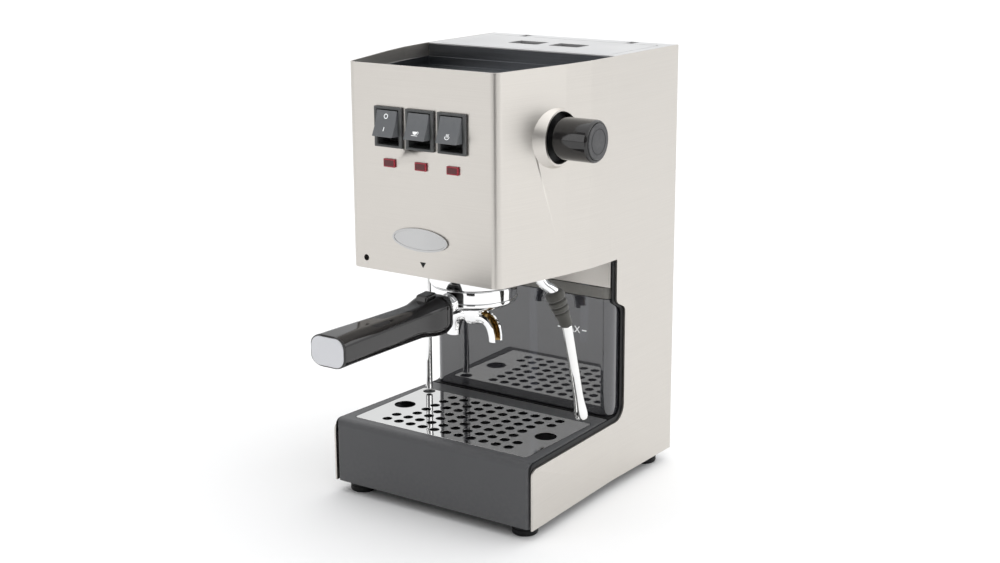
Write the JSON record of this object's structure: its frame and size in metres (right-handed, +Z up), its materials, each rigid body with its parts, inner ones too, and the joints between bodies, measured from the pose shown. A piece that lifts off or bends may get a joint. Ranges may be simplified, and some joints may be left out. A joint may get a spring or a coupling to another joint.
{
  "type": "espresso machine",
  "caption": "Domestic espresso machine: steel housing with a tapered head, bayonet portafilter, steam wand, drip tray, and a smoke-grey water tank behind the bay.",
  "frame": {"origin": "under the middle of the bounding box, on the surface that the feet stand on", "axes": "+Z up, -Y towards the user (the front), +X to the machine's right-hand side seen from the front, where the steam knob and wand are"},
  "size_m": [0.2296, 0.3602, 0.38],
  "materials": {
    "brushed_steel": "brushed stainless steel sheet",
    "polished_steel": "polished stainless steel",
    "chrome": "chrome plated brass",
    "black_plastic": "glossy black moulded plastic",
    "charcoal_plastic": "satin charcoal moulded plastic",
    "grey_plastic": "satin grey moulded plastic",
    "smoke_plastic": "clear smoke-grey moulded plastic",
    "red_lens": "translucent red lens",
    "rubber": "matt moulded rubber",
    "silicone": "translucent silicone hose",
    "aluminium": "cast aluminium, as cast",
    "brass": "machined brass"
  },
  "bodies": {
    "chassis": {"housing": "brushed_steel", "edge_liner_right": "black_plastic", "edge_liner_left": "black_plastic", "head_floor": "brushed_steel", "rear_shelf": "brushed_steel", "rear_panel": "brushed_steel", "power_inlet": "black_plastic", "cup_tray": "brushed_steel", "top_frame": "brushed_steel", "lid_hinge_rod": "chrome", "fill_funnel": "black_plastic", "power_switch_bezel": "charcoal_plastic", "power_lamp": "red_lens", "brew_switch_bezel": "charcoal_plastic", "brew_lamp": "red_lens", "steam_switch_bezel": "charcoal_plastic", "steam_lamp": "red_lens", "front_badge": "chrome", "boiler_lower": "aluminium", "boiler_upper": "aluminium", "heating_element": "brushed_steel", "boiler_thermostat": "brass", "group_head": "chrome", "group_gasket": "rubber", "shower_screen": "polished_steel", "brew_valve": "brass", "brew_pipe": "chrome", "drain_tube": "chrome", "pump": "charcoal_plastic", "pump_mount": "rubber", "relief_valve": "brass", "suction_hose": "silicone", "return_hose": "silicone", "steam_valve": "brass", "steam_feed_pipe": "chrome", "wand_socket": "brass", "base_tub": "charcoal_plastic", "foot_front_right": "rubber", "foot_front_left": "rubber", "foot_rear_right": "rubber", "foot_rear_left": "rubber"},
    "power_switch": {"power_rocker": "charcoal_plastic"},
    "brew_switch": {"brew_rocker": "charcoal_plastic"},
    "steam_switch": {"steam_rocker": "charcoal_plastic"},
    "steam_control": {"valve_stem": "chrome", "steam_knob": "black_plastic", "knob_cap": "grey_plastic"},
    "wand": {"wand_pipe": "chrome", "wand_grip": "rubber", "wand_tube": "polished_steel"},
    "portafilter": {"portafilter_body": "chrome", "filter_basket": "polished_steel", "spout": "chrome", "portafilter_handle": "black_plastic", "handle_cap": "polished_steel"},
    "tray": {"drip_tray": "charcoal_plastic"},
    "grille": {"drip_grille": "polished_steel"},
    "tank": {"water_tank": "smoke_plastic", "tank_rim": "grey_plastic"},
    "lid": {"tank_lid": "brushed_steel"}
  },
  "joints": [
    {"name": "power_rocker_turn", "type": "hinge", "parent": "chassis", "child": "power_switch", "pos_m": [-0.0426, -0.0569, 0.3285], "axis": [1, 0, 0], "range_deg": [0, 40]},
    {"name": "brew_rocker_turn", "type": "hinge", "parent": "chassis", "child": "brew_switch", "pos_m": [-0.0108, -0.0569, 0.3285], "axis": [1, 0, 0], "range_deg": [0, 40]},
    {"name": "steam_rocker_turn", "type": "hinge", "parent": "chassis", "child": "steam_switch", "pos_m": [0.021, -0.0569, 0.3285], "axis": [1, 0, 0], "range_deg": [0, 40]},
    {"name": "steam_knob_turn", "type": "hinge", "parent": "chassis", "child": "steam_control", "pos_m": [0.0862, 0.0051, 0.3217], "axis": [1, 0, 0], "range_deg": [0, 450]},
    {"name": "wand_swivel", "type": "hinge", "parent": "chassis", "child": "wand", "pos_m": [0.0552, 0.0101, 0.208], "axis": [0, 0, 1], "range_deg": [-90, 60]},
    {"name": "portafilter_lock", "type": "hinge", "parent": "chassis", "child": "portafilter", "pos_m": [-0.0108, 0.0101, 0.19], "axis": [0, 0, 1], "range_deg": [-45, 0]},
    {"name": "tray_slide", "type": "slide", "parent": "chassis", "child": "tray", "axis": [0, -1, 0], "range_m": [0, 0.13]},
    {"name": "grille_tilt", "type": "hinge", "parent": "tray", "child": "grille", "pos_m": [-0.0108, 0.0551, 0.067], "axis": [-1, 0, 0], "range_deg": [0, 15]},
    {"name": "tank_slide", "type": "slide", "parent": "chassis", "child": "tank", "axis": [0, -1, 0], "range_m": [0, 0.022]},
    {"name": "lid_hinge", "type": "hinge", "parent": "chassis", "child": "lid", "pos_m": [-0.0108, 0.1741, 0.3745], "axis": [-1, 0, 0], "range_deg": [0, 95]}
  ]
}
